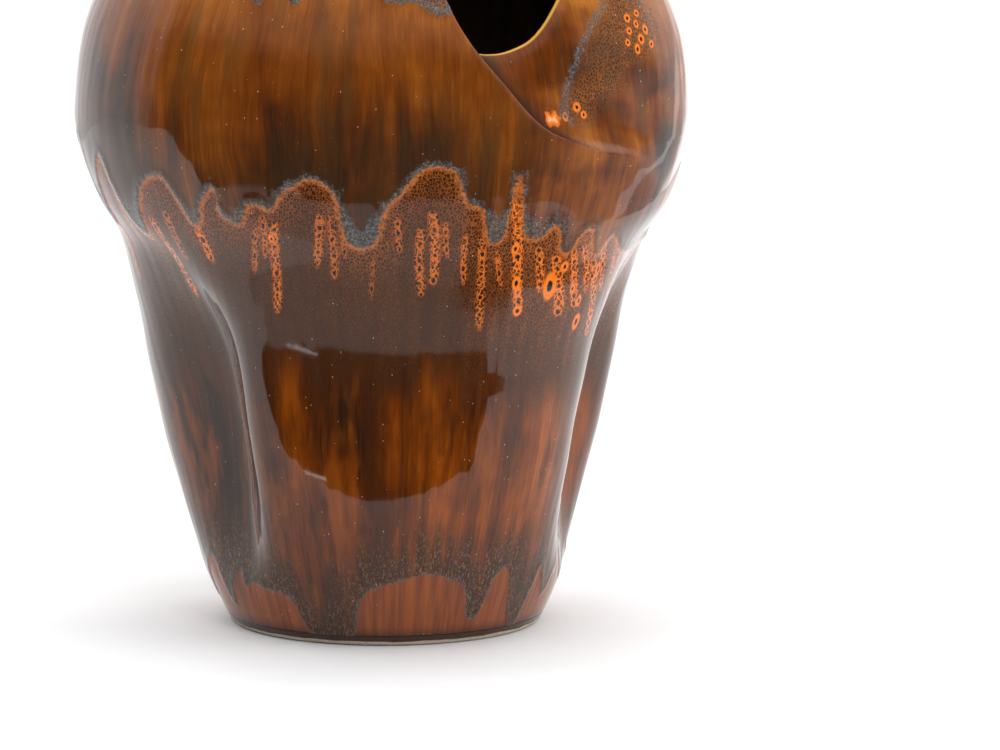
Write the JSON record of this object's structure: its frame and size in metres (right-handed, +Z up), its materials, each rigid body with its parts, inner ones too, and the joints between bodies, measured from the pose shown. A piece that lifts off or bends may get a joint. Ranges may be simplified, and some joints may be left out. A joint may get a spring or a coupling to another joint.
{
  "type": "stoneware vase",
  "caption": "Tall glazed stoneware vase, fluted and tapered below, swelling to a round shoulder whose wrapped wall overlaps itself beside a deep notch in the mouth.",
  "frame": {"origin": "centre of the foot, on the plane the vase stands on", "axes": "+Z up the vase, -Y towards the front, where the wrapped edge and the notch are, +X to the right seen from the front"},
  "size_m": [0.3538, 0.353, 0.4528],
  "materials": {
    "glaze": "glossy amber and dark brown running glaze",
    "bare_clay": "matte unglazed stoneware"
  },
  "bodies": {
    "root": {"foot_ring": "bare_clay", "base_slab": "glaze", "lower_wall": "glaze", "left_leaf": "glaze", "right_leaf": "glaze"}
  },
  "joints": []
}
